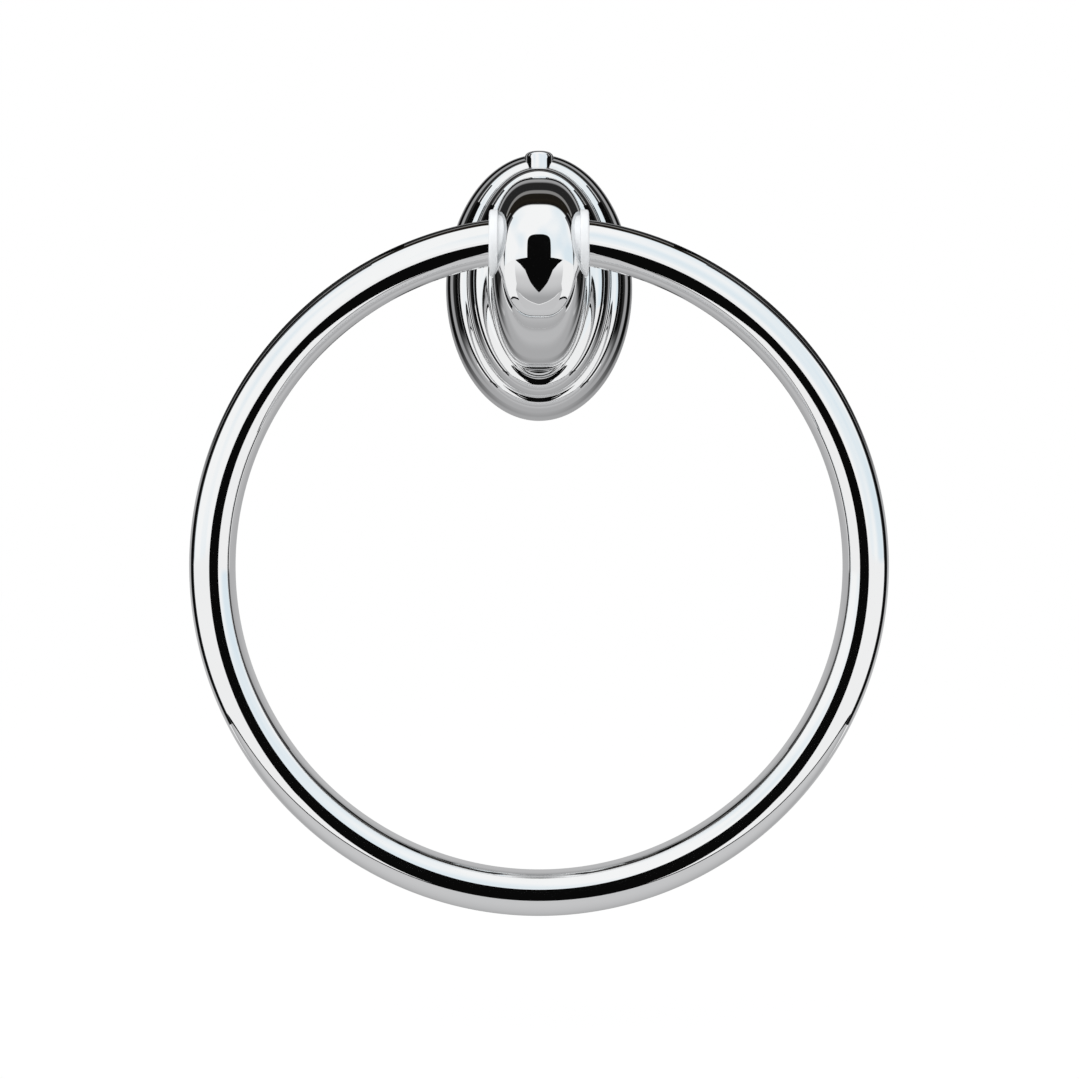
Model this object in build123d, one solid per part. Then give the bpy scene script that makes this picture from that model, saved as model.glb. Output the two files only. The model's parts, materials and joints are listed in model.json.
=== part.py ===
from build123d import *
import math
import os

os.makedirs("parts", exist_ok=True)

# A wall towel ring. Millimetres, +Z up. The wall is the plane Y = 0, the front is -Y,
# and the origin is the centre of the base's back face. "Reach" is distance out from the wall.

# Base: two oval steps, one on the other, each with a quarter-round flank
base_half_width = 22.8
base_half_height = 32.4
lower_step_height = 11.5
lower_step_side = 5.7
lower_step_end = 5.0
upper_step_height = 5.5
upper_step_side = 5.1
upper_step_end = 4.2
bead_width = 1.1
bead_height = 0.7

# Post: from an oval foot into a domed nose. Top and bottom round off early, the sides late.
nose_reach = 56.0
side_power = 9.0
end_power = 2.4
side_taper = 0.3
fullness = 0.65
foot_sink = 1.0

# Hollow back of the casting
wall = 2.6
post_wall = 3.6
core_stop = 4.8

# Pivot of the ring
pivot_behind_nose = 10.0
pivot_rise = 3.4
seat_half_span = 8.95
seat_margin = 0.35

# Ring: one round bar bent to a circle, its two ends straight on the pivot line
bar_radius = 5.0
ring_radius = 71.5
end_bend_radius = 14.0
end_straight_to = 9.8
end_gap_half = 3.6
end_chamfer = 0.6

# Bushings: plastic top hats, pressed in from both sides of the head
flange_radius = 7.25
flange_thickness = 1.9
flange_round = 0.5
sleeve_wall = 1.1
sleeve_length = 5.6
mouth_chamfer = 0.6
running_clearance = 0.08
press_clearance = 0.02

# Set screw and the half-round boss that carries it at the top of the base
boss_radius = 3.5
boss_reach = 9.0
boss_inset = 1.0
boss_length = 6.4
boss_round = 1.3
screw_radius = 2.0
screw_length = 7.6
screw_sunk = 0.8
screw_point = 1.0
screw_clearance = 0.05
socket_flats = 2.0
socket_depth = 2.5

# Wall bracket: a bent steel strip, its top a tab under the screw and its foot a hook
strip_thickness = 1.5
strip_half_width = 3.8
plate_half_width = 10.0
plate_corner = 3.0
tab_past_screw = 0.6
hook_reach = 6.0
hook_drop = 2.6
bend_radius = 0.8
bend_relief = 0.8
hole_radius = 2.6
hole_spacing = 26.0

# Ledge in the casting that the bracket's hook holds
ledge_side = 2.4
ledge_back = 0.4
ledge_gap = 0.4

# Sizes that follow from those above
crease_half_width = base_half_width - lower_step_side
crease_half_height = base_half_height - lower_step_end
top_half_width = crease_half_width - upper_step_side
top_half_height = crease_half_height - upper_step_end
top_reach = lower_step_height + upper_step_height
foot_half_width = top_half_width - bead_width
foot_half_height = top_half_height - bead_width
foot_reach = top_reach - foot_sink
bush_bore = bar_radius + running_clearance
sleeve_radius = bush_bore + sleeve_wall
head_bore = sleeve_radius + press_clearance
pivot_reach = nose_reach - pivot_behind_nose
core_reach = pivot_reach - head_bore - core_stop
boss_top = base_half_height - boss_inset
boss_inner = boss_top - boss_length
screw_tip = boss_top - screw_sunk - screw_length
strip_half_height = screw_tip - screw_clearance
tab_reach = boss_reach + screw_radius + tab_past_screw
ring_drop = end_bend_radius + math.sqrt((ring_radius - end_bend_radius) ** 2 - end_straight_to**2)
pivot = Vector(0, -pivot_reach, pivot_rise)


def front(reach):
    """The plane parallel to the wall at this reach, seen from the front."""
    return Plane(origin=(0, -reach, 0), x_dir=(1, 0, 0), z_dir=(0, -1, 0))


def oval(half_width, half_height, reach):
    return front(reach) * Ellipse(half_width, half_height)


def squarish(half_width, half_height, power, reach, points=24):
    """A superellipse: power 2 is an ellipse, more is squarer."""
    spots = []
    for i in range(points):
        turn = 2 * math.pi * i / points
        c, s = math.cos(turn), math.sin(turn)
        size = (abs(c / half_width) ** power + abs(s / half_height) ** power) ** (-1 / power)
        spots.append((size * c, size * s))
    return front(reach) * make_face(Spline(*spots, periodic=True))


def step(outer, inner, low, high, cuts=4):
    """A raised oval step whose flank is a quarter of an ellipse."""
    sections = []
    for i in range(cuts + 1):
        turn = math.pi / 2 * i / cuts
        sizes = [n + (o - n) * math.cos(turn) for o, n in zip(outer, inner)]
        sections.append(oval(*sizes, low + (high - low) * math.sin(turn)))
    return loft(sections)


def post_sizes(along):
    """Half width, half height and squareness of the post. Along runs from its foot to its nose."""
    half_width = (foot_half_width - side_taper * along) * math.sqrt(1 - along**side_power)
    half_height = foot_half_height * math.sqrt(1 - along**end_power)
    return half_width, half_height, 2 + fullness * (1 - (2 * along - 1) ** 4)


def post_shape(cuts=10):
    """Foot to nose in one skin, with its sections closer together where the nose rounds off."""
    sections = []
    for i in range(cuts):
        along = math.sin(math.pi / 2 * i / cuts)
        reach = foot_reach + (nose_reach - foot_reach) * along
        sections.append(squarish(*post_sizes(along), reach))
    return loft(sections + [Vertex(0, -nose_reach, 0)])


def cross_bar(radius, x_from, x_to):
    """A cylinder on the pivot line."""
    plane = Plane(origin=(x_from, pivot.Y, pivot.Z), x_dir=(0, 1, 0), z_dir=(1, 0, 0))
    return extrude(plane * Circle(radius), x_to - x_from)


def upright_bar(radius, reach, low, high):
    """A cylinder standing along Z."""
    return extrude(Plane.XY.offset(low) * Pos(0, -reach) * Circle(radius), high - low)


def block(half_width, reach_from, reach_to, low, high):
    size = (2 * half_width, reach_to - reach_from, high - low)
    middle = (0, -(reach_from + reach_to) / 2, (low + high) / 2)
    return Pos(*middle) * Box(*size)


# Casting: the outside first
base_oval = (base_half_width, base_half_height)
crease_oval = (crease_half_width, crease_half_height)
top_oval = (top_half_width, top_half_height)
lower_step = step(base_oval, crease_oval, 0, lower_step_height)
upper_step = step(crease_oval, top_oval, lower_step_height, top_reach)
foot_oval = (foot_half_width - bead_width, foot_half_height - bead_width)
bead = step(top_oval, foot_oval, top_reach, top_reach + bead_height)
outside = lower_step + upper_step + bead + post_shape()

# then the hollow back, one wall in from each step, with a tapered core up the post
def inset(sizes, amount):
    return tuple(size - amount for size in sizes)


low_room = step(inset(base_oval, wall), inset(crease_oval, wall), 0, lower_step_height - wall)
mid_room = step(
    inset(crease_oval, wall),
    inset(top_oval, wall / 2),
    lower_step_height - wall,
    top_reach - wall,
)
core_foot = (foot_half_width - post_wall, foot_half_height - post_wall)
core_along = (core_reach - foot_reach) / (nose_reach - foot_reach)
core_tip = inset(post_sizes(core_along)[:2], post_wall)
core = loft([oval(*core_foot, top_reach - wall), oval(*core_tip, core_reach)])
casting = outside - low_room - mid_room - core

# boss with its screw hole, and the ledge for the hook
boss = upright_bar(boss_radius, boss_reach, boss_inner, boss_top)
boss = fillet(boss.edges().filter_by(GeomType.CIRCLE).sort_by(Axis.Z)[-1], boss_round)
casting += boss
ledge_top = -strip_half_height - ledge_gap
ledge_front = hook_reach - strip_thickness - ledge_gap
ledge_half_width = strip_half_width + ledge_side
ledge = block(ledge_half_width, ledge_back, ledge_front, -base_half_height + wall / 2, ledge_top)
casting += ledge & outside
casting -= upright_bar(screw_radius + screw_clearance, boss_reach, boss_inner - 1, boss_top + 1)

# bore across the head, with a flat seat round it for each flange
casting -= cross_bar(head_bore, -base_half_width, base_half_width)
for side in (-1, 1):
    seat = cross_bar(flange_radius + seat_margin, seat_half_span, base_half_width)
    casting -= seat if side > 0 else mirror(seat, Plane.YZ)

# Ring: half of the centreline, drawn in the plane of the hanging ring, then both halves
ring_plane = Plane(origin=pivot, x_dir=(1, 0, 0), z_dir=(0, -1, 0))
bend_turn = math.atan2(end_straight_to, ring_drop - end_bend_radius)
bend_end = (ring_radius * math.sin(bend_turn), ring_radius * math.cos(bend_turn) - ring_drop)
bend_mid = (
    end_straight_to + end_bend_radius * math.sin(bend_turn / 2),
    end_bend_radius * math.cos(bend_turn / 2) - end_bend_radius,
)
left = [(-x, z) for x, z in (bend_end, bend_mid)]
path = Wire(
    [
        Edge.make_line((end_gap_half, 0), (end_straight_to, 0)),
        Edge.make_three_point_arc((end_straight_to, 0), bend_mid, bend_end),
        Edge.make_three_point_arc(bend_end, (0, -ring_radius - ring_drop), left[0]),
        Edge.make_three_point_arc(left[0], left[1], (-end_straight_to, 0)),
        Edge.make_line((-end_straight_to, 0), (-end_gap_half, 0)),
    ]
)
end_plane = Plane(origin=(end_gap_half, 0, 0), x_dir=(0, 1, 0), z_dir=(1, 0, 0))
ring = sweep(end_plane * Circle(bar_radius), path)
end_edges = ring.edges().filter_by(GeomType.CIRCLE).filter_by(
    lambda edge: abs(abs(edge.center().X) - end_gap_half) < 0.01
)
ring = ring_plane * chamfer(end_edges, end_chamfer)

# Bushings: flange and sleeve round one bore, eased where the bar leaves it
flange = cross_bar(flange_radius, seat_half_span, seat_half_span + flange_thickness)
rim = flange.edges().filter_by(GeomType.CIRCLE)
flange = fillet(rim, flange_round)
bush = flange + cross_bar(sleeve_radius, seat_half_span - sleeve_length, seat_half_span + flange_round)
bush -= cross_bar(bush_bore, 0, 2 * seat_half_span)
mouth = bush.edges().filter_by(GeomType.CIRCLE).sort_by(Axis.X)
mouth = [edge for edge in mouth if abs(edge.radius - bush_bore) < 0.01][-1]
bush_right = chamfer(mouth, mouth_chamfer)
bush_left = mirror(bush_right, Plane.YZ)

# Set screw: cone point below, hexagon socket above
screw_top = screw_tip + screw_length
screw = upright_bar(screw_radius, boss_reach, screw_tip, screw_top)
tip_edge = screw.edges().filter_by(GeomType.CIRCLE).sort_by(Axis.Z)[0]
screw = chamfer(tip_edge, screw_point)
socket = RegularPolygon(socket_flats / 2, 6, major_radius=False)
screw -= extrude(Plane.XY.offset(screw_top) * Pos(0, -boss_reach) * socket, -socket_depth)

# Wall bracket: the strip drawn from the side along its middle, and a wider plate for the screws
half = strip_thickness / 2
strip_line = FilletPolyline(
    (-tab_reach, strip_half_height - half),
    (-half, strip_half_height - half),
    (-half, half - strip_half_height),
    (half - hook_reach, half - strip_half_height),
    (half - hook_reach, -strip_half_height - hook_drop),
    radius=bend_radius + half,
)
strip = extrude(Plane.YZ * trace(strip_line, strip_thickness), strip_half_width, both=True)
plate_half_height = strip_half_height - strip_thickness - bend_radius - bend_relief
plate = block(plate_half_width, 0, strip_thickness, -plate_half_height, plate_half_height)
bracket = strip + fillet(plate.edges().filter_by(Axis.Y), plate_corner)
for rise in (-hole_spacing / 2, hole_spacing / 2):
    hole = front(-1) * Pos(0, rise) * Circle(hole_radius)
    bracket -= extrude(hole, strip_thickness + 2)

for name, shape in (
    ("post_casting", casting),
    ("towel_ring", ring),
    ("bushing_left", bush_left),
    ("bushing_right", bush_right),
    ("set_screw", screw),
    ("wall_bracket", bracket),
):
    shape.label = name
    export_step(shape, f"parts/{name}.step")
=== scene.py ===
"""Finished looks of a wall towel ring, built round its CAD frame.

Laid out as a Blender add-on and run as a script. Metres, +Z up, the wall is the plane Y = 0
and the front is -Y. "Reach" is distance out from the wall.
"""

import json
import math

import bmesh
import bpy
from bpy.props import FloatProperty, FloatVectorProperty, IntProperty, PointerProperty
from mathutils import Matrix, Vector

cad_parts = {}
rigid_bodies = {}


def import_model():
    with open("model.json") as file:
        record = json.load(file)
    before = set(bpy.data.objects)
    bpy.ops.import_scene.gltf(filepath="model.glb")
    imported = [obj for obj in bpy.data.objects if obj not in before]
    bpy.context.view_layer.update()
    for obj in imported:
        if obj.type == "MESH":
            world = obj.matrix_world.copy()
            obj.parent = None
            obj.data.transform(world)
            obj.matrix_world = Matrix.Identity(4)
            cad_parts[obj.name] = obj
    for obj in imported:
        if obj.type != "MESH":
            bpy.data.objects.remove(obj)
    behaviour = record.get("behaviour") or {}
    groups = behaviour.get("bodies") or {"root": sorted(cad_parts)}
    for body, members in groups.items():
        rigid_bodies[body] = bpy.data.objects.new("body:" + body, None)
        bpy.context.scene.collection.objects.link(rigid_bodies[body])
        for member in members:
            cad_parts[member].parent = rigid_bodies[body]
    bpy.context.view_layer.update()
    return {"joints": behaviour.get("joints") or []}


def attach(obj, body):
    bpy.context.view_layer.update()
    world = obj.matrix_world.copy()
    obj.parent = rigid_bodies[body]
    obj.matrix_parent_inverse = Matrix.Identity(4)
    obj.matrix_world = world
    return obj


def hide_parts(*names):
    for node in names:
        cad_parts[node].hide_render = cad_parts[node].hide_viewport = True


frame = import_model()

bl_info = {
    "name": "Towel Ring",
    "version": (1, 0, 0),
    "blender": (4, 5, 0),
    "location": "3D View > Sidebar > Towel Ring",
    "description": "Builds the finished pieces of a wall towel ring round its CAD frame",
    "category": "Add Mesh",
}

MM = 0.001
FULL_TURN = 2 * math.pi
QUARTER = math.pi / 2
BORE_SIDES, BOSS_SIDES, HOLE_SIDES = 144, 96, 64
PIVOT = Vector(frame["joints"][0]["pos_m"])
WALL_BODY = frame["joints"][0]["parent"]
RING_BODY = frame["joints"][0]["child"]


def length(name, description, millimetres):
    return FloatProperty(
        name=name, description=description, default=millimetres * MM, unit="LENGTH", precision=5)


def plain(name, description, value):
    return FloatProperty(name=name, description=description, default=value)


def count(name, description, value):
    return IntProperty(name=name, description=description, default=value, min=3)


def colour(name, description, value):
    return FloatVectorProperty(
        name=name, description=description, default=value, subtype="COLOR", min=0, max=1)


class CastingSizes(bpy.types.PropertyGroup):
    """Sizes of the base and post casting."""

    base_half_width: length("Base half width", "Half of the oval base across", 22.8)
    base_half_height: length("Base half height", "Half of the oval base up and down", 32.4)
    lower_height: length("Lower step height", "Reach of the lower step's crest", 11.5)
    lower_side: length("Lower step side", "Width of the lower step at the sides", 5.7)
    lower_end: length("Lower step end", "Width of the lower step at top and bottom", 5.0)
    upper_height: length("Upper step height", "Height of the upper step on the lower", 5.5)
    upper_side: length("Upper step side", "Width of the upper step at the sides", 5.1)
    upper_end: length("Upper step end", "Width of the upper step at top and bottom", 4.2)
    bead_width: length("Bead width", "Width of the thin bead round the post's foot", 1.1)
    bead_height: length("Bead height", "Height of that bead", 0.7)
    nose_reach: length("Nose reach", "How far the nose stands out from the wall", 56.0)
    side_power: plain("Side power", "How late the post's sides round off into the nose", 9.0)
    end_power: plain("End power", "How late its top and bottom round off into the nose", 2.4)
    side_taper: length("Side taper", "How much narrower the post gets on its way", 0.3)
    fullness: plain("Fullness", "How much squarer than an ellipse the post is in its middle", 0.65)
    foot_sink: length("Foot sink", "How far the post starts below the upper crest", 1.0)
    crease_round: length("Crease round", "Radius in the hollow corners", 0.4)
    wall: length("Wall", "Wall of the hollow back", 2.6)
    post_wall: length("Post wall", "Wall round the core of the post", 3.6)
    core_reach: length("Core reach", "Where the core of the post ends", 35.0)
    seat_half_span: length("Seat half span", "Middle to the seat of a bushing", 8.95)
    seat_margin: length("Seat margin", "Seat past the bushing's flange", 0.35)
    bore: length("Bore", "Radius of the bore across the head", 6.2)
    boss_radius: length("Boss radius", "Half-round boss at the top of the base", 3.5)
    boss_reach: length("Boss reach", "Reach of the boss's middle line", 9.0)
    boss_top: length("Boss top", "Height of the boss's end", 31.4)
    boss_length: length("Boss length", "Length of the boss", 6.4)
    boss_round: length("Boss round", "Radius on the boss's end", 1.3)
    screw_hole: length("Screw hole", "Radius of the set screw's hole", 2.05)
    ledge_half_width: length("Ledge half width", "Half of the ledge behind the hook", 6.2)
    ledge_top: length("Ledge top", "Height of the ledge's top", -23.35)
    ledge_back: length("Ledge back", "Reach of the ledge's back", 0.4)
    ledge_front: length("Ledge front", "Reach of the ledge's front", 4.1)
    columns: count("Columns", "Points round each loop", 360)


class RingSizes(bpy.types.PropertyGroup):
    """Sizes of the swinging ring."""

    bar_radius: length("Bar radius", "Half of the bar's thickness", 5.0)
    ring_radius: length("Ring radius", "Middle of the ring to the middle of the bar", 71.5)
    bend_radius: length("End bend radius", "Tighter bend before each straight end", 14.0)
    straight_to: length("Straight to", "Where the straight end stops", 9.8)
    gap_half: length("Half gap", "Middle to the end of the bar", 3.6)
    points: count("Points", "Points along the bar", 960)
    sides: count("Sides", "Points round the bar", 96)


class BushingSizes(bpy.types.PropertyGroup):
    """Sizes of the plastic bushings."""

    flange_radius: length("Flange radius", "Radius of the flange", 7.25)
    flange_thickness: length("Flange thickness", "Thickness of the flange", 1.9)
    flange_round: length("Flange round", "Radius on the flange's rim", 0.55)
    sleeve_radius: length("Sleeve radius", "Outside of the sleeve", 6.18)
    sleeve_length: length("Sleeve length", "Sleeve inside the head", 5.6)
    bore: length("Bore", "Radius of the running bore", 5.08)
    mouth_round: length("Mouth round", "Easing where the bar comes out", 0.5)
    columns: count("Columns", "Points round each loop", 128)


class ScrewSizes(bpy.types.PropertyGroup):
    """Sizes of the set screw."""

    radius: length("Radius", "Outside of the thread", 2.0)
    pitch: length("Pitch", "Thread to thread", 0.7)
    thread_depth: length("Thread depth", "Depth of the thread", 0.38)
    tip: length("Tip", "Height of the point", 23.0)
    top: length("Top", "Height of the outer end", 30.6)
    point: length("Point", "Height and width of the cone", 1.0)
    socket_half: length("Socket half", "Half of the hexagon socket across its flats", 1.0)
    socket_depth: length("Socket depth", "Depth of the socket", 2.5)
    columns: count("Columns", "Points round each loop", 72)


class BracketSizes(bpy.types.PropertyGroup):
    """Sizes of the pressed wall bracket."""

    thickness: length("Thickness", "Thickness of the sheet", 1.5)
    strip_half_width: length("Strip half width", "Half of the bent strip across", 3.8)
    strip_half_height: length("Strip half height", "Half of the strip up and down", 22.95)
    plate_half_width: length("Plate half width", "Half of the screw plate across", 10.0)
    plate_half_height: length("Plate half height", "Half of the screw plate up and down", 19.85)
    plate_corner: length("Plate corner", "Radius on the plate's corners", 3.0)
    tab_reach: length("Tab reach", "Reach of the tab under the set screw", 11.6)
    hook_reach: length("Hook reach", "Reach of the hook", 6.0)
    hook_drop: length("Hook drop", "How far the hook turns down", 2.6)
    bend_radius: length("Bend radius", "Inside radius of the bends", 0.8)
    hole_radius: length("Hole radius", "Radius of the screw holes", 2.6)
    hole_spacing: length("Hole spacing", "Between the screw holes", 26.0)
    edge_round: length("Edge round", "Radius on the sheet's edges", 0.15)


class Finishes(bpy.types.PropertyGroup):
    """Colours of the finishes."""

    chrome: colour("Chrome", "Polished chrome plating", (0.93, 0.935, 0.94))
    plastic: colour("Plastic", "Milky plastic of the bushings", (0.66, 0.68, 0.69))
    steel: colour("Steel", "Zinc-plated steel", (0.56, 0.57, 0.58))
    raw_zinc: colour("Raw zinc", "Unplated inside of the casting", (0.40, 0.405, 0.42))


class StageSizes(bpy.types.PropertyGroup):
    """Camera, floor and soft light."""

    camera_right: length("Camera right", "Camera to the right of the post", 0.1)
    camera_height: length("Camera height", "Height of the camera", -61.46)
    camera_distance: length("Camera distance", "Camera to the ring's plane", 380.4)
    frame_width: length("Frame width", "Width seen at the ring's plane", 236.2)
    floor_height: length("Floor height", "Height of the floor", -171.0)


class TowelRingSettings(bpy.types.PropertyGroup):
    """All that a user would change."""

    casting: PointerProperty(type=CastingSizes)
    ring: PointerProperty(type=RingSizes)
    bushing: PointerProperty(type=BushingSizes)
    screw: PointerProperty(type=ScrewSizes)
    bracket: PointerProperty(type=BracketSizes)
    finish: PointerProperty(type=Finishes)
    stage: PointerProperty(type=StageSizes)


def settings():
    return bpy.context.scene.towel_ring


class Wire:
    """One output of a node, with arithmetic on it written as Python."""

    def __init__(self, graph, socket):
        self.graph = graph
        self.socket = socket

    def math(self, operation, *others):
        return self.graph.add("ShaderNodeMath", {"operation": operation}, dict(enumerate((self, *others))))

    def __add__(self, other):
        return self.math("ADD", other)

    def __radd__(self, other):
        return self.graph.value(other, "ADD", self)

    def __sub__(self, other):
        return self.math("SUBTRACT", other)

    def __rsub__(self, other):
        return self.graph.value(other, "SUBTRACT", self)

    def __mul__(self, other):
        return self.math("MULTIPLY", other)

    def __rmul__(self, other):
        return self.graph.value(other, "MULTIPLY", self)

    def __truediv__(self, other):
        return self.math("DIVIDE", other)

    def __rtruediv__(self, other):
        return self.graph.value(other, "DIVIDE", self)

    def between(self, low, high):
        return self.math("MAXIMUM", low).math("MINIMUM", high)


class Graph:
    """A node tree to which nodes are added one call at a time."""

    def __init__(self, tree):
        self.tree = tree

    def add(self, kind, options=None, sockets=None, out=0):
        """Adds a node: its type, its settings first, then the values or links of its sockets."""
        node = self.tree.nodes.new(kind)
        for key, value in (options or {}).items():
            setattr(node, key, value)
        for key, value in (sockets or {}).items():
            if isinstance(value, Wire):
                self.tree.links.new(value.socket, node.inputs[key])
            else:
                node.inputs[key].default_value = value
        return Wire(self, node.outputs[out]) if node.outputs else node

    def value(self, number, operation, wire):
        """A number worked on by a wire, for the reflected operators."""
        return self.add("ShaderNodeMath", {"operation": operation}, {0: number, 1: wire})

    def mix(self, amount, first, second):
        """Colour between two colours."""
        return self.add("ShaderNodeMix", {"data_type": "RGBA"}, {0: amount, 6: first, 7: second}, out=2)


def fresh_material(name):
    """A material and its empty graph, or no graph where the material is there already."""
    material = bpy.data.materials.get(name)
    if material:
        return material, None
    material = bpy.data.materials.new(name)
    material.use_nodes = True
    material.node_tree.nodes.clear()
    return material, Graph(material.node_tree)


def finish_shader(graph, sockets):
    shader = graph.add("ShaderNodeBsdfPrincipled", None, sockets)
    graph.add("ShaderNodeOutputMaterial", None, {"Surface": shader})


def shaded(rgb, amount):
    """A colour made darker or lighter."""
    return (*[channel * amount for channel in rgb], 1.0)


def chrome_finish(name="polished_chrome"):
    """Bright plating: almost a mirror, with faint haze, wipe marks and the casting's slow ripple."""
    material, graph = fresh_material(name)
    if graph:
        tint = settings().finish.chrome
        spot = graph.add("ShaderNodeTexCoord", out="Object")
        haze = graph.add("ShaderNodeTexNoise", None, {"Vector": spot, "Scale": 55.0, "Detail": 3.0})
        drawn = graph.add("ShaderNodeMapping", None, {"Vector": spot, "Scale": (900.0, 900.0, 90.0)})
        marks = graph.add("ShaderNodeTexNoise", None, {"Vector": drawn, "Scale": 1.0, "Detail": 2.0})
        ripple = graph.add("ShaderNodeTexNoise", None, {"Vector": spot, "Scale": 70.0, "Detail": 1.0})
        bump = graph.add("ShaderNodeBump", None, {"Strength": 0.10, "Distance": 0.0004, "Height": ripple})
        finish_shader(graph, {
            "Base Color": graph.mix(haze, shaded(tint, 0.96), shaded(tint, 1.0)),
            "Metallic": 1.0,
            "Roughness": 0.022 + 0.03 * haze * marks,
            "Normal": bump,
        })
    return material


def plastic_finish(name="milky_plastic"):
    """Moulded plastic that light soaks into a little, with faint flow marks."""
    material, graph = fresh_material(name)
    if graph:
        tint = settings().finish.plastic
        spot = graph.add("ShaderNodeTexCoord", out="Object")
        cloud = graph.add("ShaderNodeTexNoise", None, {"Vector": spot, "Scale": 260.0, "Detail": 3.0})
        grain = graph.add("ShaderNodeTexNoise", None, {"Vector": spot, "Scale": 2600.0, "Detail": 2.0})
        bump = graph.add("ShaderNodeBump", None, {"Strength": 0.12, "Distance": 0.0002, "Height": grain})
        finish_shader(graph, {
            "Base Color": graph.mix(cloud, shaded(tint, 0.94), shaded(tint, 1.03)),
            "Roughness": 0.32 + 0.16 * cloud,
            "Subsurface Weight": 0.2,
            "Subsurface Radius": (0.0012, 0.0012, 0.0013),
            "Subsurface Scale": 1.0,
            "Normal": bump,
        })
    return material


def steel_finish(name="plated_steel"):
    """Zinc-plated sheet: soft spangle, rolling lines and dull patches."""
    material, graph = fresh_material(name)
    if graph:
        tint = settings().finish.steel
        spot = graph.add("ShaderNodeTexCoord", out="Object")
        spangle = graph.add("ShaderNodeTexVoronoi", None, {"Vector": spot, "Scale": 420.0}, out="Distance")
        rolled = graph.add("ShaderNodeMapping", None, {"Vector": spot, "Scale": (2200.0, 2200.0, 60.0)})
        lines = graph.add("ShaderNodeTexNoise", None, {"Vector": rolled, "Scale": 1.0, "Detail": 3.0})
        patch = graph.add("ShaderNodeTexNoise", None, {"Vector": spot, "Scale": 130.0, "Detail": 4.0})
        bump = graph.add("ShaderNodeBump", None, {"Strength": 0.15, "Distance": 0.0001, "Height": lines})
        finish_shader(graph, {
            "Base Color": graph.mix(0.6 * patch + 0.4 * spangle, shaded(tint, 0.82), shaded(tint, 1.12)),
            "Metallic": 1.0,
            "Roughness": 0.27 + 0.2 * patch + 0.08 * lines,
            "Normal": bump,
        })
    return material


def raw_zinc_finish(name="raw_zinc"):
    """Inside of the casting as it leaves the die: dull, grainy and a little stained."""
    material, graph = fresh_material(name)
    if graph:
        tint = settings().finish.raw_zinc
        spot = graph.add("ShaderNodeTexCoord", out="Object")
        stain = graph.add("ShaderNodeTexNoise", None, {"Vector": spot, "Scale": 120.0, "Detail": 5.0})
        grain = graph.add("ShaderNodeTexNoise", None, {"Vector": spot, "Scale": 1900.0, "Detail": 3.0})
        bump = graph.add("ShaderNodeBump", None, {"Strength": 0.35, "Distance": 0.0002, "Height": grain})
        finish_shader(graph, {
            "Base Color": graph.mix(stain, shaded(tint, 0.72), shaded(tint, 1.2)),
            "Metallic": 0.85,
            "Roughness": 0.45 + 0.2 * stain,
            "Normal": bump,
        })
    return material


def skin(name, loops, tags=None, closed=False):
    """Joins loops of points into one skin. A loop of one point closes it to a pole."""
    mesh_maker = bmesh.new()
    rings = [[mesh_maker.verts.new(point) for point in loop] for loop in loops]
    pairs = list(zip(rings, rings[1:] + rings[:1]))
    for index, (near, far) in enumerate(pairs if closed else pairs[:-1]):
        around = max(len(near), len(far))
        for here in range(around):
            after = (here + 1) % around
            corners = [
                near[here % len(near)], near[after % len(near)],
                far[after % len(far)], far[here % len(far)],
            ]
            face = mesh_maker.faces.new(list(dict.fromkeys(corners)))
            face.material_index = tags[index] if tags else 0
            face.smooth = True
    bmesh.ops.recalc_face_normals(mesh_maker, faces=mesh_maker.faces)
    mesh = bpy.data.meshes.new(name)
    mesh_maker.to_mesh(mesh)
    mesh_maker.free()
    return mesh


def loose_object(name, mesh):
    made = bpy.data.objects.new(name, mesh)
    bpy.context.scene.collection.objects.link(made)
    return made


def as_plain_mesh(made):
    """Turns what an object's modifiers give into its own mesh."""
    seen = made.evaluated_get(bpy.context.evaluated_depsgraph_get())
    mesh = bpy.data.meshes.new_from_object(seen)
    made.modifiers.clear()
    made.data = mesh
    return made


def weld(mesh):
    """Closes the hair cracks that a cut can leave."""
    mesh_maker = bmesh.new()
    mesh_maker.from_mesh(mesh)
    bmesh.ops.remove_doubles(mesh_maker, verts=mesh_maker.verts, dist=0.002 * MM)
    bmesh.ops.dissolve_degenerate(mesh_maker, edges=mesh_maker.edges, dist=0.001 * MM)
    mesh_maker.to_mesh(mesh)
    mesh_maker.free()


def combine(target, tool, operation):
    """Adds or cuts one solid with another, and removes the tool."""
    change = target.modifiers.new("combine", "BOOLEAN")
    change.operation = operation
    change.solver = "EXACT"
    change.object = tool
    as_plain_mesh(target)
    bpy.data.objects.remove(tool)
    weld(target.data)
    if not target.data.polygons:
        raise RuntimeError(f"{target.name}: nothing left after {operation}")


def hand_over(made, materials, body, node, sharp=35.0):
    """Gives a finished piece its materials and its body, and hides the CAD node that it stands for."""
    made.data.materials.clear()
    for material in materials:
        made.data.materials.append(material)
    made.data.shade_smooth()
    made.data.set_sharp_from_angle(angle=math.radians(sharp))
    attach(made, body)
    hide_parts(node)


def eased(corners, steps=5):
    """A closed outline of (x, y, radius) corners, each rounded by its own radius."""
    outline = []
    for index, (x, y, radius) in enumerate(corners):
        here = Vector((x, y))
        back = (Vector(corners[index - 1][:2]) - here).normalized()
        ahead = (Vector(corners[(index + 1) % len(corners)][:2]) - here).normalized()
        half = back.angle(ahead) / 2
        middle = here + (back + ahead).normalized() * radius / math.sin(half)
        first = here + back * radius / math.tan(half) - middle
        sweep = math.pi - 2 * half
        turn = sweep if back.x * first.y - back.y * first.x > 0 else -sweep
        for step in range(steps + 1):
            outline.append(middle + Matrix.Rotation(turn * step / steps, 2) @ first)
    return outline


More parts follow.
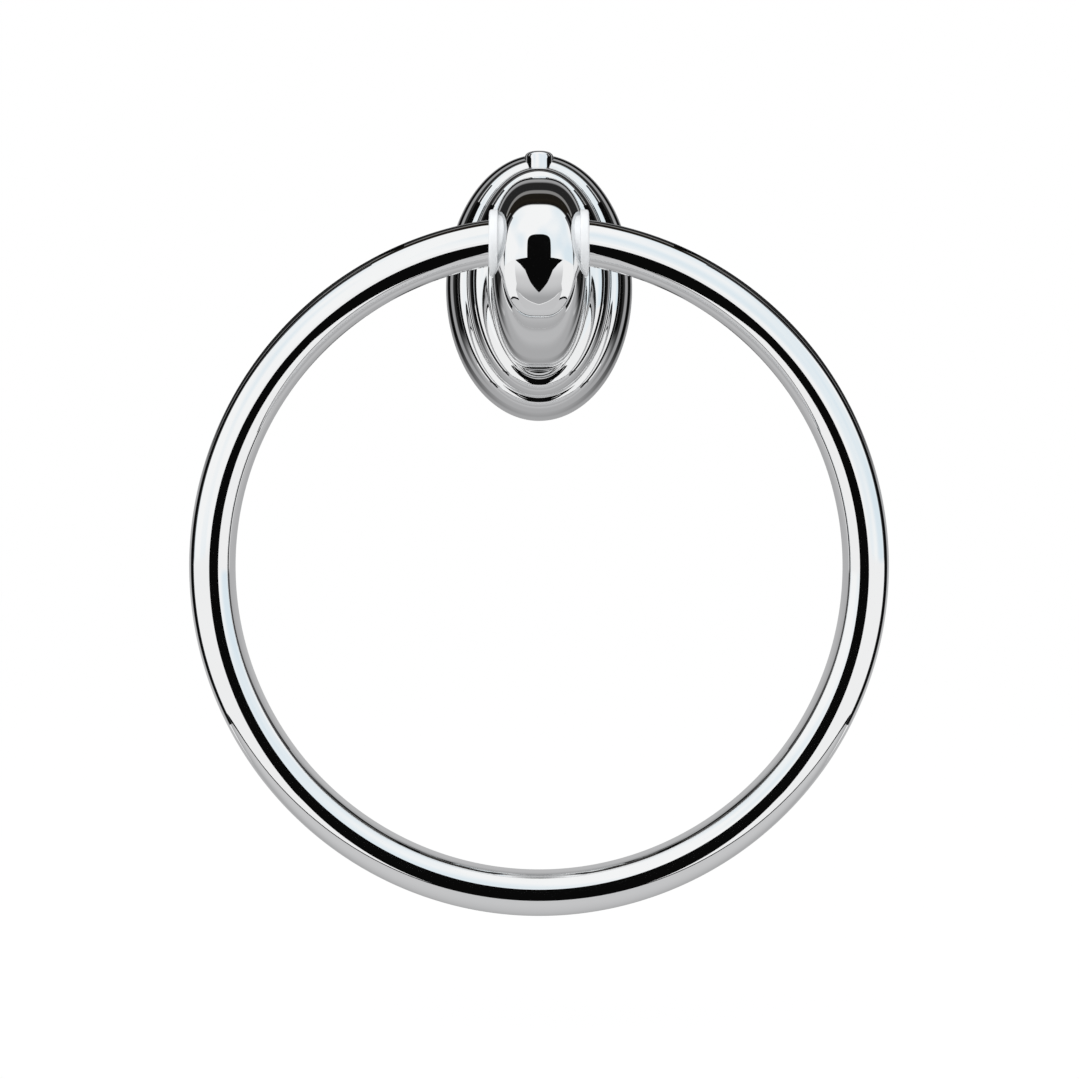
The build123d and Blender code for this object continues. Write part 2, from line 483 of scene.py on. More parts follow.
def turned_x(profile, columns, side=1):
    """Loops of (along, out) points turned round the pivot line."""
    loops = []
    for along, out in profile:
        loops.append([
            PIVOT + Vector((side * along, out * math.cos(turn), out * math.sin(turn)))
            for turn in (FULL_TURN * i / columns for i in range(columns))
        ])
    return loops


def turned_z(profile, reach, columns):
    """Loops of (height, out) points turned round an upright line. No width makes a pole."""
    loops = []
    for height, out in profile:
        if out == 0:
            loops.append([Vector((0, -reach, height))])
            continue
        loops.append([
            Vector((out * math.cos(turn), out * math.sin(turn) - reach, height))
            for turn in (FULL_TURN * i / columns for i in range(columns))
        ])
    return loops


def oval_loop(half_width, half_height, power, reach, columns):
    """A superellipse parallel to the wall: power 2 is an ellipse."""
    loop = []
    for index in range(columns):
        turn = FULL_TURN * (index + 0.5) / columns
        across, up = math.cos(turn), math.sin(turn)
        size = (abs(across / half_width) ** power + abs(up / half_height) ** power) ** (-1 / power)
        loop.append(Vector((size * across, -reach, size * up)))
    return loop


def step_rows(outer, inner, low, high, start, stop, rows):
    """Rows up a step whose flank is a quarter of an ellipse."""
    made = []
    for index in range(rows + 1):
        turn = start + (stop - start) * index / rows
        sizes = [n + (o - n) * math.cos(turn) for o, n in zip(outer, inner)]
        made.append((*sizes, 2.0, low + (high - low) * math.sin(turn)))
    return made


def hollow_rows(sizes, reach, radius, rows=4):
    """Rows round the hollow corner where a crest meets the next flank."""
    made = []
    for index in range(1, rows):
        turn = QUARTER * index / rows
        inward = radius * (1 - math.sin(turn))
        made.append((sizes[0] + inward, sizes[1] + inward, 2.0, reach + radius * (1 - math.cos(turn))))
    return made


def post_row(s, foot, foot_reach, along):
    """One row of the post, along from foot to nose: top and bottom round off early, the sides late."""
    return (
        (foot[0] - s.side_taper * along) * math.sqrt(1 - along ** s.side_power),
        foot[1] * math.sqrt(1 - along ** s.end_power),
        2 + s.fullness * (1 - (2 * along - 1) ** 4),
        foot_reach + (s.nose_reach - foot_reach) * along,
    )


def casting_rows(s):
    """Rows of the casting's outside, from the wall to the nose."""
    ease = s.crease_round
    edge_rows, lower_rows, upper_rows, bead_rows, post_rows = 4, 30, 24, 6, 120
    bead_end = math.acos(0.62)
    base = (s.base_half_width, s.base_half_height)
    crease = (base[0] - s.lower_side, base[1] - s.lower_end)
    top = (crease[0] - s.upper_side, crease[1] - s.upper_end)
    foot = (top[0] - s.bead_width, top[1] - s.bead_width)
    top_reach = s.lower_height + s.upper_height
    rows = [(base[0] - ease, base[1] - ease, 2.0, 0.0)]
    for index in range(1, edge_rows):
        turn = QUARTER * index / edge_rows
        inward = ease * (1 - math.sin(turn))
        rows.append((base[0] - inward, base[1] - inward, 2.0, ease * (1 - math.cos(turn))))
    rows += step_rows(base, crease, 0, s.lower_height, math.asin(ease / s.lower_height),
                      math.acos(ease / s.lower_side), lower_rows)
    rows += hollow_rows(crease, s.lower_height, ease)
    rows += step_rows(crease, top, s.lower_height, top_reach, math.asin(ease / s.upper_height),
                      math.acos(ease / s.upper_side), upper_rows)
    rows += hollow_rows(top, top_reach, ease / 2)
    bead_in = (foot[0] - s.bead_width, foot[1] - s.bead_width)
    rows += step_rows(top, bead_in, top_reach, top_reach + s.bead_height,
                      math.asin(ease / 2 / s.bead_height), bead_end, bead_rows)
    foot_reach = top_reach - s.foot_sink
    start = top_reach + s.bead_height + ease
    for index in range(1, post_rows):
        row = post_row(s, foot, foot_reach, math.sin(QUARTER * index / post_rows))
        if row[3] > start:
            rows.append(row)
    return rows


def hollow_back_rows(s):
    """Rows of the casting's hollow back, from the wall to the core of the post."""
    base = (s.base_half_width - s.wall, s.base_half_height - s.wall)
    crease = (base[0] - s.lower_side, base[1] - s.lower_end)
    top = (crease[0] - s.upper_side + s.wall / 2, crease[1] - s.upper_end + s.wall / 2)
    floor = s.lower_height + s.upper_height - s.wall
    gap = s.bead_width + s.post_wall - s.wall / 2
    core = (top[0] - gap, top[1] - gap)
    foot = (core[0] + s.post_wall, core[1] + s.post_wall)
    foot_reach = floor + s.wall - s.foot_sink
    along = (s.core_reach - foot_reach) / (s.nose_reach - foot_reach)
    end = post_row(s, foot, foot_reach, along)
    tip = (end[0] - s.post_wall, end[1] - s.post_wall)
    flank_rows, corner_turn, lip_in, lip_up = 10, 0.12, 0.3 * MM, 0.5 * MM
    rows = step_rows(base, crease, 0, s.lower_height - s.wall, 0, QUARTER, flank_rows)
    rows += step_rows(crease, top, s.lower_height - s.wall, floor, corner_turn, QUARTER, flank_rows)
    rows += [(*core, 2.0, floor), (core[0] - lip_in, core[1] - lip_in, 2.0, floor + lip_up)]
    rows += [(*tip, 2.0, s.core_reach - MM), (tip[0] - MM, tip[1] - MM, 2.0, s.core_reach)]
    return rows


def bore_tool(s, flange):
    """What is cut across the head: the bore with a wider seat at each end."""
    far, seat = s.base_half_width, s.seat_half_span
    half = [(seat, s.bore), (seat, flange), (far, flange)]
    profile = [(-along, out) for along, out in reversed(half)] + half
    ends = [[PIVOT + Vector((side * far, 0, 0))] for side in (-1, 1)]
    return loose_object("bore", skin("bore", [ends[0], *turned_x(profile, BORE_SIDES), ends[1]]))


def boss_solid(s):
    """The boss that takes the set screw, with its outer end rounded."""
    ease, low, steps = s.boss_round, s.boss_top - s.boss_length, 5
    crown = []
    for index in range(steps + 1):
        turn = QUARTER * index / steps
        height = s.boss_top - ease + ease * math.sin(turn)
        crown.append((height, s.boss_radius - ease + ease * math.cos(turn)))
    profile = [(low, 0), (low, s.boss_radius), *crown, (s.boss_top, 0)]
    return loose_object("boss", skin("boss", turned_z(profile, s.boss_reach, BOSS_SIDES)))


def ledge_solid(s):
    """The ledge in the hollow back that the bracket's hook holds."""
    wide, top, deep = s.ledge_half_width, s.ledge_top, s.wall - s.base_half_height
    corners = [(wide, top), (wide, deep), (-wide, deep), (-wide, top)]
    reaches = (s.ledge_back, s.ledge_front)
    loops = [[Vector((x, -reach, z)) for x, z in corners] for reach in reaches]
    caps = [[Vector((0, -reach, (top + deep) / 2))] for reach in reaches]
    return loose_object("ledge", skin("ledge", [caps[0], *loops, caps[1]], [1, 1, 1]))


def screw_hole_tool(s):
    """What is cut through the boss for the set screw."""
    low, high = s.boss_top - s.boss_length - MM, s.boss_top + MM
    profile = [(low, 0), (low, s.screw_hole), (high, s.screw_hole), (high, 0)]
    return loose_object("hole", skin("hole", turned_z(profile, s.boss_reach, HOLE_SIDES)))


class TOWELRING_OT_casting(bpy.types.Operator):
    """Builds the base, post and nose as one hollow casting with its boss, bore and seats"""

    bl_idname = "towel_ring.casting"
    bl_label = "Post casting"

    def execute(self, context):
        s = settings().casting
        finishes = [chrome_finish(), raw_zinc_finish()]
        outside = [oval_loop(*row, s.columns) for row in reversed(casting_rows(s))]
        inside = [oval_loop(*row, s.columns) for row in hollow_back_rows(s)]
        nose, core = ([Vector((0, -reach, 0))] for reach in (s.nose_reach, s.core_reach))
        tags = [0] * (len(outside) + 1) + [1] * (len(inside) + 1)
        casting = loose_object("casting", skin("casting", [nose, *outside, *inside, core], tags))
        for finish in finishes:
            casting.data.materials.append(finish)
        combine(casting, bore_tool(s, settings().bushing.flange_radius + s.seat_margin), "DIFFERENCE")
        combine(casting, boss_solid(s), "UNION")
        combine(casting, ledge_solid(s), "UNION")
        combine(casting, screw_hole_tool(s), "DIFFERENCE")
        hand_over(casting, finishes, WALL_BODY, "post_casting")
        return {"FINISHED"}


def ring_tree():
    """Geometry nodes: a bar that follows straight end, tight bend and circle, the same on both sides."""
    tree = bpy.data.node_groups.new("ring_bar", "GeometryNodeTree")
    tree.interface.new_socket("Geometry", in_out="OUTPUT", socket_type="NodeSocketGeometry")
    kinds = {
        "Bar Radius": "Float", "Ring Radius": "Float", "Bend Radius": "Float", "Straight To": "Float",
        "Half Gap": "Float", "Points": "Int", "Sides": "Int", "Pivot": "Vector", "Finish": "Material",
    }
    for name, kind in kinds.items():
        tree.interface.new_socket(name, in_out="INPUT", socket_type="NodeSocket" + kind)

    graph = Graph(tree)
    value = {name: graph.add("NodeGroupInput", out=name) for name in kinds}
    bar, ring, bend = value["Bar Radius"], value["Ring Radius"], value["Bend Radius"]
    straight, gap = value["Straight To"], value["Half Gap"]

    inner = ring - bend
    turn = (straight / inner).math("ARCSINE")
    run = straight - gap
    bend_run = bend * turn
    half_run = run + bend_run + ring * (math.pi - turn)
    factor = graph.add("GeometryNodeSplineParameter", out="Factor")
    side = (0.5 - factor).math("SIGN")
    along = (1 - (2 * factor - 1).math("ABSOLUTE")) * half_run
    on_bend = (along - run).between(0.0, bend_run) / bend
    on_ring = (along - run - bend_run).math("MAXIMUM", 0.0) / ring + turn
    across = (gap + along.math("MINIMUM", run) + bend * on_bend.math("SINE")
              + ring * (on_ring.math("SINE") - turn.math("SINE")))
    down = bend * (on_bend.math("COSINE") - 1) + ring * (on_ring.math("COSINE") - turn.math("COSINE"))
    place = graph.add("ShaderNodeCombineXYZ", None, {"X": across * side, "Z": down})
    place = graph.add("ShaderNodeVectorMath", {"operation": "ADD"}, {0: place, 1: value["Pivot"]})

    line = graph.add("GeometryNodeCurvePrimitiveLine", {"mode": "POINTS"}, {"End": (1.0, 0.0, 0.0)})
    line = graph.add(
        "GeometryNodeResampleCurve", {"mode": "COUNT"}, {"Curve": line, "Count": value["Points"]})
    path = graph.add("GeometryNodeSetPosition", None, {"Geometry": line, "Position": place})
    round_bar = graph.add(
        "GeometryNodeCurvePrimitiveCircle", {"mode": "RADIUS"},
        {"Resolution": value["Sides"], "Radius": bar})
    solid = graph.add(
        "GeometryNodeCurveToMesh", None, {"Curve": path, "Profile Curve": round_bar, "Fill Caps": True})
    solid = graph.add("GeometryNodeRealizeInstances", None, {"Geometry": solid})
    solid = graph.add("GeometryNodeSetMaterial", None, {"Geometry": solid, "Material": value["Finish"]})
    graph.add("NodeGroupOutput", None, {0: solid})
    return tree


class TOWELRING_OT_ring(bpy.types.Operator):
    """Builds the swinging ring from one bent round bar"""

    bl_idname = "towel_ring.ring"
    bl_label = "Ring"

    def execute(self, context):
        s = settings().ring
        ring = loose_object("ring", bpy.data.meshes.new("ring"))
        modifier = ring.modifiers.new("bar", "NODES")
        modifier.node_group = ring_tree()
        inputs = {
            "Bar Radius": s.bar_radius, "Ring Radius": s.ring_radius, "Bend Radius": s.bend_radius,
            "Straight To": s.straight_to, "Half Gap": s.gap_half, "Points": s.points, "Sides": s.sides,
            "Pivot": tuple(PIVOT), "Finish": chrome_finish(),
        }
        for item in modifier.node_group.interface.items_tree:
            if item.in_out == "INPUT":
                modifier[item.identifier] = inputs[item.name]
        as_plain_mesh(ring)
        hand_over(ring, [chrome_finish()], RING_BODY, "towel_ring")
        return {"FINISHED"}


class TOWELRING_OT_bushings(bpy.types.Operator):
    """Builds the two flanged plastic bushings"""

    bl_idname = "towel_ring.bushings"
    bl_label = "Bushings"

    def execute(self, context):
        s = settings().bushing
        seat = settings().casting.seat_half_span
        inner, outer = seat - s.sleeve_length, seat + s.flange_thickness
        small = 0.2 * MM
        profile = eased([
            (inner, s.bore, small),
            (outer, s.bore, s.mouth_round),
            (outer, s.flange_radius, s.flange_round),
            (seat, s.flange_radius, small),
            (seat, s.sleeve_radius, small / 4),
            (inner, s.sleeve_radius, small),
        ])
        for side, node in ((-1, "bushing_left"), (1, "bushing_right")):
            loops = turned_x(profile, s.columns, side)
            made = loose_object(node.replace("bushing", "bush"), skin(node, loops, closed=True))
            hand_over(made, [plastic_finish()], WALL_BODY, node)
        return {"FINISHED"}


class TOWELRING_OT_screw(bpy.types.Operator):
    """Builds the set screw with its thread and hexagon socket"""

    bl_idname = "towel_ring.screw"
    bl_label = "Set screw"

    def execute(self, context):
        s = settings().screw
        if s.radius - s.thread_depth <= s.socket_half:
            raise RuntimeError("the socket is wider than the screw's core")
        reach = settings().casting.boss_reach
        rows, flat, chamfer, mouth = 110, 0.2 * MM, 0.35 * MM, 0.12 * MM
        turns = [FULL_TURN * index / s.columns for index in range(s.columns)]

        def loop(height, outs):
            return [Vector((o * math.cos(t), o * math.sin(t) - reach, height)) for t, o in zip(turns, outs)]

        loops = [[Vector((0, -reach, s.tip))], loop(s.tip, [s.radius - s.point] * s.columns)]
        low, high = s.tip + flat, s.top
        for index in range(rows + 1):
            height = low + (high - low) * index / rows
            limit = min(s.radius - s.point + (height - s.tip), s.radius - 0.6 * (height - high + chamfer))
            outs = []
            for t in turns:
                phase = (height / s.pitch - t / FULL_TURN) % 1.0
                outs.append(min(limit, s.radius - s.thread_depth * abs(2 * phase - 1)))
            loops.append(loop(height, outs))
        hexagon = [s.socket_half / math.cos((t + math.pi / 6) % (math.pi / 3) - math.pi / 6) for t in turns]
        loops.append(loop(s.top, [o + mouth for o in hexagon]))
        loops.append(loop(s.top - mouth, hexagon))
        loops.append(loop(s.top - s.socket_depth, hexagon))
        loops.append([Vector((0, -reach, s.top - s.socket_depth - 0.3 * MM))])
        made = loose_object("grub_screw", skin("grub_screw", loops))
        hand_over(made, [steel_finish()], WALL_BODY, "set_screw", 25.0)
        return {"FINISHED"}


def sheet_metal(name, outline, thickness, ease, matrix):
    """A flat sheet with eased edges, cut to an outline and put in its place by a matrix."""
    curve = bpy.data.curves.new(name, "CURVE")
    curve.dimensions = "2D"
    curve.fill_mode = "BOTH"
    curve.extrude = thickness / 2 - ease
    curve.bevel_depth = ease
    curve.bevel_resolution = 2
    curve.offset = -ease
    spline = curve.splines.new("POLY")
    spline.points.add(len(outline) - 1)
    for point, place in zip(spline.points, outline):
        point.co = (place[0], place[1], 0, 1)
    spline.use_cyclic_u = True
    drawn = loose_object(name, curve)
    mesh = bpy.data.meshes.new_from_object(drawn.evaluated_get(bpy.context.evaluated_depsgraph_get()))
    bpy.data.objects.remove(drawn)
    mesh.transform(matrix)
    mesh_maker = bmesh.new()
    mesh_maker.from_mesh(mesh)
    bmesh.ops.remove_doubles(mesh_maker, verts=mesh_maker.verts, dist=1e-6)
    bmesh.ops.recalc_face_normals(mesh_maker, faces=mesh_maker.faces)
    mesh_maker.to_mesh(mesh)
    mesh_maker.free()
    return loose_object(name, mesh)


def plate_hole_tool(rise, radius, depth):
    """What is cut through the screw plate for one wall screw."""
    loops = [[Vector((0, MM, rise))]]
    for back in (MM, -depth - MM):
        loops.append([
            Vector((radius * math.cos(turn), back, rise + radius * math.sin(turn)))
            for turn in (FULL_TURN * index / HOLE_SIDES for index in range(HOLE_SIDES))
        ])
    loops.append([Vector((0, -depth - MM, rise))])
    return loose_object("hole", skin("hole", loops))


class TOWELRING_OT_bracket(bpy.types.Operator):
    """Builds the pressed wall bracket from a bent strip and its screw plate"""

    bl_idname = "towel_ring.bracket"
    bl_label = "Wall bracket"

    def execute(self, context):
        s = settings().bracket
        t, tall, inside = s.thickness, s.strip_half_height, s.bend_radius
        outside = inside + t
        edge = 0.05 * MM
        strip = eased([
            (0, tall, outside), (s.tab_reach, tall, edge),
            (s.tab_reach, tall - t, edge), (t, tall - t, inside),
            (t, t - tall, inside), (s.hook_reach, t - tall, outside),
            (s.hook_reach, -tall - s.hook_drop, edge), (s.hook_reach - t, -tall - s.hook_drop, edge),
            (s.hook_reach - t, -tall, inside), (0, -tall, outside),
        ], 8)
        sideways = Matrix(((0, 0, 1, 0), (-1, 0, 0, 0), (0, 1, 0, 0), (0, 0, 0, 1)))
        bracket = sheet_metal("bracket", strip, 2 * s.strip_half_width, s.edge_round, sideways)
        wide, high, corner = s.plate_half_width, s.plate_half_height, s.plate_corner
        plate = eased([
            (wide, high, corner), (-wide, high, corner), (-wide, -high, corner), (wide, -high, corner),
        ], 10)
        upright = Matrix(((1, 0, 0, 0), (0, 0, -1, -t / 2), (0, 1, 0, 0), (0, 0, 0, 1)))
        combine(bracket, sheet_metal("plate", plate, t, s.edge_round, upright), "UNION")
        for rise in (-s.hole_spacing / 2, s.hole_spacing / 2):
            combine(bracket, plate_hole_tool(rise, s.hole_radius, t), "DIFFERENCE")
        hand_over(bracket, [steel_finish()], WALL_BODY, "wall_bracket", 30.0)
        return {"FINISHED"}


BLACK = (0.003, 0.003, 0.003)
# Near-black, used as painted shade on the backing card.
SHADE_BLACK = (0.02, 0.02, 0.02)
WARM_DARK = (0.014, 0.012, 0.009)
WARM_GREY = (0.24, 0.235, 0.23)
COOL_WHITE = (0.93, 0.935, 0.94)
WHITE = (1.0, 1.0, 1.0)


def grey(level):
    """A plain grey with a trace of blue."""
    return (level, level, level + 0.005)


def drift(graph, axis, start, stop):
    """From 0 to 1 between two places in millimetres, along an axis or, as RIM, out from the oval base."""
    spot = graph.add("ShaderNodeTexCoord", out="Object")
    if axis == "RIM":
        width_to_height = (1.0, 0.0, 0.704)
        spot = graph.add("ShaderNodeVectorMath", {"operation": "MULTIPLY"}, {0: spot, 1: width_to_height})
        place = graph.add("ShaderNodeVectorMath", {"operation": "LENGTH"}, {0: spot}, out="Value")
    else:
        place = graph.add("ShaderNodeSeparateXYZ", None, {0: spot}, out=axis)
    return graph.add("ShaderNodeMapRange", {"interpolation_type": "SMOOTHSTEP"}, {
        "Value": place, "From Min": start * MM, "From Max": stop * MM,
    })


def glow(name, shade, drifts, one_sided):
    """A card's plain light. Each drift lays a further shade over it. One-sided is clear from behind."""
    material, graph = fresh_material(name)
    if graph:
        tone = (*shade, 1.0)
        for axis, start, stop, further in drifts:
            tone = graph.mix(drift(graph, axis, start, stop), tone, (*further, 1.0))
        light = graph.add("ShaderNodeEmission", None, {"Color": tone, "Strength": 1.0})
        if one_sided:
            behind = graph.add("ShaderNodeNewGeometry", out="Backfacing")
            clear = graph.add("ShaderNodeBsdfTransparent")
            light = graph.add("ShaderNodeMixShader", None, {0: behind, 1: light, 2: clear})
        graph.add("ShaderNodeOutputMaterial", None, {"Surface": light})
    return material


def card(name, corners, shade, *drifts, one_sided=False):
    """A studio card that only shows in polished metal. Corners in millimetres."""
    mesh = bpy.data.meshes.new(name)
    mesh.from_pydata([Vector(corner) * MM for corner in corners], [], [range(len(corners))])
    made = loose_object(name, mesh)
    made.data.materials.append(glow("light_" + name, shade, drifts, one_sided))
    made.visible_camera = False
    made.visible_diffuse = False
    made.visible_transmission = False
    made.visible_shadow = False


def arch(wide, deep):
    """Half of a squarish oval, from its right end to its left end."""
    power, steps = 0.6, 40
    outline = []
    for index in range(steps + 1):
        across, up = math.cos(math.pi * index / steps), math.sin(math.pi * index / steps)
        outline.append((wide * math.copysign(abs(across) ** power, across), deep * up ** power))
    return outline


def other_side(half):
    """Mirror image of half an outline, to close it. Points on the middle line aren't repeated."""
    return [(-across, other) for across, other in reversed(half) if across]


def ring_cards(low):
    """Cards for the ring: flags beside it, a backing behind it in painted shade, a grey paper as painted floor
    shade with a painted shadow line round it, and a dark path to the front.
    """
    beside = ((-46, -131), (-14, -131), (-14, 150), (-58, 150), (-58, 50), (-46, 0))
    near = ((-12, -34), (-2, -34), (-2, 46), (-34, 46), (-34, 30), (-12, 20))
    for hand, side in (("left", -1), ("right", 1)):
        card(f"flag_{hand}", [(side * 122, y, z) for y, z in beside], grey(0.10),
             ("Y", -47, -40, BLACK), ("Y", -21, -16, grey(0.3)))
        card(f"near_flag_{hand}", [(side * 48, y, z) for y, z in near], BLACK,
             ("Z", -14, -34, grey(0.5)))

    wide, top, behind = 145, 230, 0.3
    corners = ((-wide, low), (wide, low), (wide, top), (-wide, top))
    # Painted shade on the backing: round the base's outline a black ring, a grey ring and then near-black, like
    # a contact shadow; warm grey and warm dark higher up, lighter greys lower down.
    card("backing", [(x, behind, z) for x, z in corners], grey(0.30),
         ("RIM", 24, 25.5, BLACK), ("RIM", 28.5, 30, grey(0.34)), ("RIM", 34, 40, SHADE_BLACK),
         ("Z", 90, 97, WARM_GREY), ("Z", 116, 126, WARM_DARK),
         ("Z", -12, -45, grey(0.42)), ("Z", -50, -85, grey(0.51)), ("Z", -120, -170, grey(0.42)))

    layer, paper_end, front, steps = 0.4, -103, -250, 20
    # Painted shadow: a black band just outside the grey paper's edge.
    card("paper_shadow_line", [(x, y, low) for x, y in arch(216, -113)], BLACK)
    # Painted shade: the paper is grey near the ring, not white, and darker still towards the wall, as the
    # floor's shade under and behind the ring.
    card("paper", [(x, y, low + layer) for x, y in arch(200, paper_end)], grey(0.60),
         ("Y", -75, 0, grey(0.42)))
    half = []
    for index in range(steps + 1):
        share = index / steps
        half.append((100 * share ** 0.9, paper_end + (front - paper_end) * share ** 2.4))
    card("path", [(x, y, low + 2 * layer) for x, y in half + other_side(half)], BLACK)
    card("front_dark", [(x, front, low + z) for x, z in arch(108, 130)], BLACK)


def nose_cards():
    """Painted reflections on the nose, from small cards close in front of it: a dark mark for the camera's
    reflection, a bright edge, and two greys behind them, one of which darkens downward.
    """
    half = [(0, -13.8), (2.7, -8.6), (4.0, -4.6), (5.6, -3.0), (8.0, -1.7), (3.1, -1.3)]
    mark = half + [(x, 2.2 + z) for x, z in arch(3.1, 2.7)] + other_side(half)
    edge = [(0, -28.8), (10.6, -16.2), (10.6, -17.0), (0, -30.0)]
    paper = [(8.6, -1.5), (10.4, -11), (13.4, -15.5), (13.4, -31)]
    table = [(0, -29.4), (10.6, -16.8), (13.6, -15.2), (17, -30), (18, -58)]
    card("nose_dark", [(x, -57, z) for x, z in mark], BLACK)
    card("paper_edge", [(x, -57.1, z) for x, z in edge + other_side(edge)], WHITE)
    card("near_paper", [(x, -57.3, z) for x, z in paper + other_side(paper)], COOL_WHITE,
         ("Z", -1.6, -8, grey(0.63)), ("Z", -8, -20, grey(0.38)))
    card("near_table", [(x, -57.2, z) for x, z in table + other_side(table)], grey(0.58))


def step_cards(s):
    """Painted shade: a black crescent just in front of the lower end of each step's crest, seen from the step
    alone, so that the chrome shows dark there.
    """
    spread, steps, gap = 0.62, 15, 2.0
    turns = [spread * (index / steps - 1) for index in range(2 * steps + 1)]
    upper_side, upper_end = s.lower_side + s.upper_side, s.lower_end + s.upper_end
    crests = (
        ("lower", s.lower_height, s.lower_side, s.lower_end, 0.4, 2.2),
        ("upper", s.lower_height + s.upper_height, upper_side, upper_end, 1.0, 3.6),
    )
    for step, reach, side, end, drop, deep in crests:
        wide, high = (s.base_half_width - side) / MM, (s.base_half_height - end) / MM
        top = [(wide * math.sin(a), -drop - high * math.cos(a)) for a in turns]
        low = [
            (wide * math.sin(a), -drop - (high + deep * math.cos(QUARTER * a / spread)) * math.cos(a))
            for a in turns
        ]
        crescent = top + low[-2:0:-1]
        # Black painted shade, one-sided so that only the step sees it.
        card(f"{step}_step_dark", [(x, -reach / MM - gap, z) for x, z in crescent], BLACK, one_sided=True)


def background_rays(graph):
    """Which rays show the white background, and which are the chrome's own."""
    camera, clear, glossy = (
        graph.add("ShaderNodeLightPath", out=f"Is {kind} Ray") for kind in ("Camera", "Transmission", "Glossy"))
    return camera.math("MAXIMUM", clear), glossy


def pale_floor(s):
    """White paper that keeps a faint shadow. In the chrome the world's own table takes its place."""
    wide, low, white_share, strength = 3.0, s.floor_height, 0.94, 1.02
    corners = [(-wide, -wide, low), (wide, -wide, low), (wide, wide, low), (-wide, wide, low)]
    mesh = bpy.data.meshes.new("floor")
    mesh.from_pydata(corners, [], [range(4)])
    floor = loose_object("floor", mesh)
    material, graph = fresh_material("floor_paper")
    background, _ = background_rays(graph)
    paper = graph.add("ShaderNodeBsdfDiffuse", None, {"Color": (0.8, 0.8, 0.8, 1.0)})
    white = graph.add("ShaderNodeEmission", None, {"Color": (*WHITE, 1.0), "Strength": strength})
    seen = graph.add("ShaderNodeMixShader", None, {0: background * white_share, 1: paper, 2: white})
    graph.add("ShaderNodeOutputMaterial", None, {"Surface": seen})
    floor.data.materials.append(material)
    floor.visible_glossy = False


def ramp(graph, value, start, stop):
    """Runs from 0 to 1 while a value goes from start to stop."""
    return graph.add("ShaderNodeMapRange", None, {"Value": value, "From Min": start, "From Max": stop})


def tent_light(graph):
    """What the chrome shows: a white tent on a white table, and a dim room behind."""
    view = graph.add("ShaderNodeTexCoord", out="Generated")
    back, up = (graph.add("ShaderNodeSeparateXYZ", None, {0: view}, out=axis) for axis in "YZ")
    cloud = graph.add("ShaderNodeTexNoise", None, {"Vector": view, "Scale": 1.3, "Detail": 1.0})
    tent = graph.mix(ramp(graph, cloud, 0.42, 0.70), (0.98, 0.985, 0.985, 1.0), (0.76, 0.86, 0.92, 1.0))
    room = graph.mix(ramp(graph, back, 0.06, 0.40), (0.008, 0.007, 0.006, 1.0), (0.030, 0.024, 0.016, 1.0))
    tent = graph.mix(ramp(graph, back, 0.016, 0.06), tent, room)
    return graph.mix(ramp(graph, up, 0.01, -0.01), tent, (0.93, 0.93, 0.93, 1.0))


def studio_world():
    """White to the camera, an even soft light, and the tent in the chrome."""
    world = bpy.data.worlds.new("studio")
    bpy.context.scene.world = world
    world.use_nodes = True
    world.node_tree.nodes.clear()
    graph = Graph(world.node_tree)
    background, glossy = background_rays(graph)
    even = graph.mix(glossy, (0.85, 0.85, 0.86, 1.0), tent_light(graph))
    shown = graph.mix(background, even, (*WHITE, 1.0))
    light = graph.add("ShaderNodeBackground", None, {"Color": shown, "Strength": 1.0})
    graph.add("ShaderNodeOutputWorld", None, {"Surface": light})


def set_camera(scene, s):
    """Straight at the wall, with the ring's plane filling the frame as in the photo."""
    lens = bpy.data.cameras.new("camera")
    lens.sensor_width = 36.0
    lens.lens = lens.sensor_width * s.camera_distance / s.frame_width
    lens.clip_start = 0.01
    camera = bpy.data.objects.new("camera", lens)
    camera.location = (s.camera_right, PIVOT.y - s.camera_distance, s.camera_height)
    camera.rotation_euler = (QUARTER, 0, 0)
    scene.collection.objects.link(camera)
    scene.camera = camera


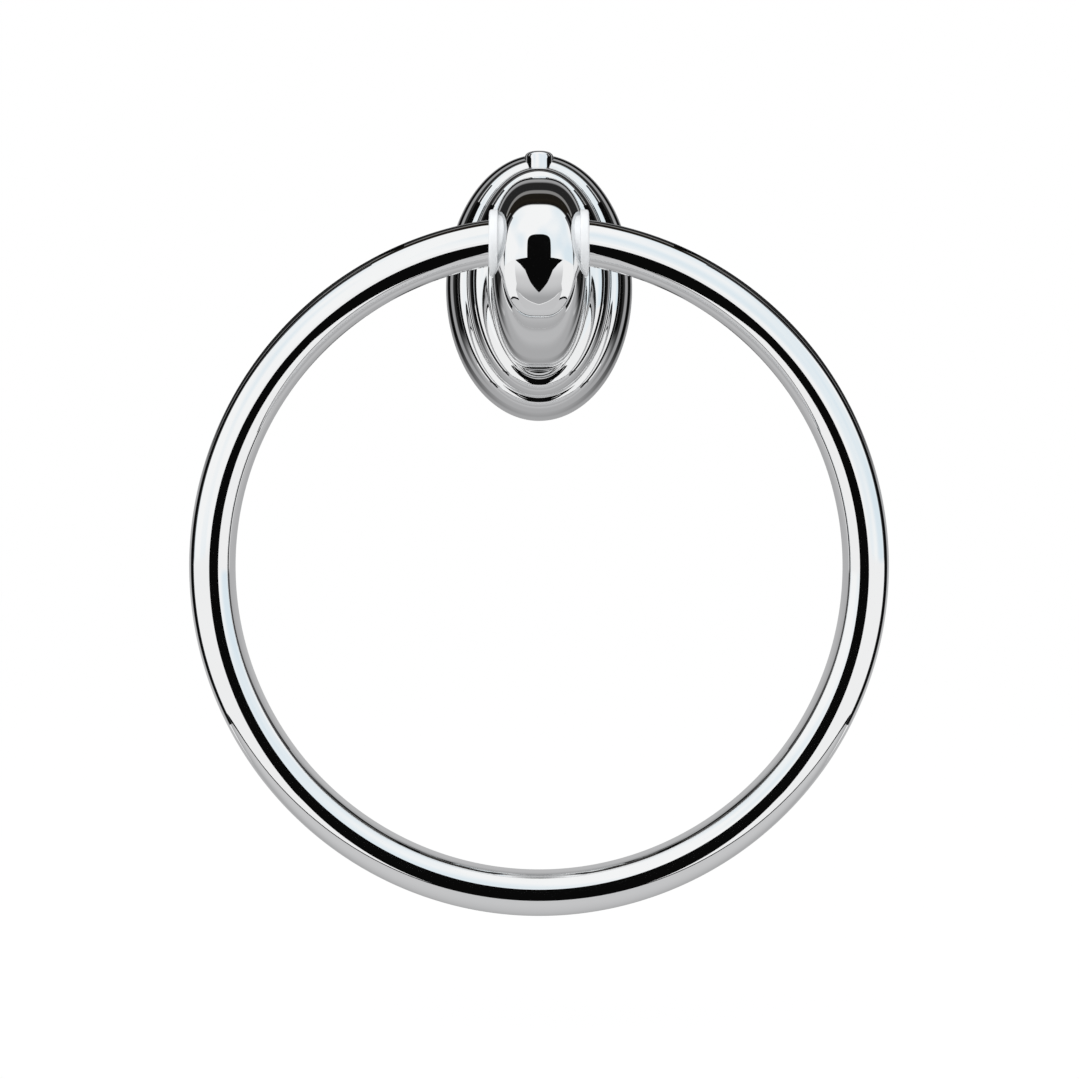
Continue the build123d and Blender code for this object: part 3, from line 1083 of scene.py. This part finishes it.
def soft_lamp(scene):
    """One soft lamp from the upper left, for the plastic and the steel."""
    lamp = bpy.data.lights.new("softbox", "AREA")
    lamp.shape = "RECTANGLE"
    lamp.size, lamp.size_y = 0.5, 0.4
    lamp.energy = 1.6
    softbox = bpy.data.objects.new("softbox", lamp)
    softbox.location = (-0.25, -0.45, 0.45)
    aim = Vector((0, -0.04, -0.03)) - softbox.location
    softbox.rotation_euler = aim.to_track_quat("-Z", "Y").to_euler()
    softbox.visible_glossy = False
    scene.collection.objects.link(softbox)


class TOWELRING_OT_stage(bpy.types.Operator):
    """Sets the camera, the pale floor, the soft light and the cards seen in the chrome"""

    bl_idname = "towel_ring.stage"
    bl_label = "Stage"

    def execute(self, context):
        s = settings().stage
        context.scene.view_settings.view_transform = "Standard"
        set_camera(context.scene, s)
        studio_world()
        pale_floor(s)
        ring_cards(s.floor_height / MM + 0.5)
        nose_cards()
        step_cards(settings().casting)
        soft_lamp(context.scene)
        return {"FINISHED"}


STEPS = (
    TOWELRING_OT_casting, TOWELRING_OT_ring, TOWELRING_OT_bushings,
    TOWELRING_OT_screw, TOWELRING_OT_bracket, TOWELRING_OT_stage,
)


class TOWELRING_PT_panel(bpy.types.Panel):
    """The pieces and the sizes that can be changed"""

    bl_label = "Towel Ring"
    bl_idname = "TOWELRING_PT_panel"
    bl_space_type = "VIEW_3D"
    bl_region_type = "UI"
    bl_category = "Towel Ring"

    def draw(self, context):
        for step in STEPS:
            self.layout.operator(step.bl_idname)
        for group_name in TowelRingSettings.__annotations__:
            group = getattr(settings(), group_name)
            box = self.layout.box()
            box.label(text=group_name.title())
            for prop in type(group).__annotations__:
                box.prop(group, prop)


CLASSES = (
    CastingSizes, RingSizes, BushingSizes, ScrewSizes, BracketSizes, Finishes, StageSizes,
    TowelRingSettings, *STEPS, TOWELRING_PT_panel,
)


def register():
    for cls in CLASSES:
        bpy.utils.register_class(cls)
    bpy.types.Scene.towel_ring = PointerProperty(type=TowelRingSettings)


def unregister():
    del bpy.types.Scene.towel_ring
    for cls in reversed(CLASSES):
        bpy.utils.unregister_class(cls)


def main():
    register()
    bpy.ops.towel_ring.casting()
    bpy.ops.towel_ring.ring()
    bpy.ops.towel_ring.bushings()
    bpy.ops.towel_ring.screw()
    bpy.ops.towel_ring.bracket()
    bpy.ops.towel_ring.stage()


if __name__ == "__main__":
    main()
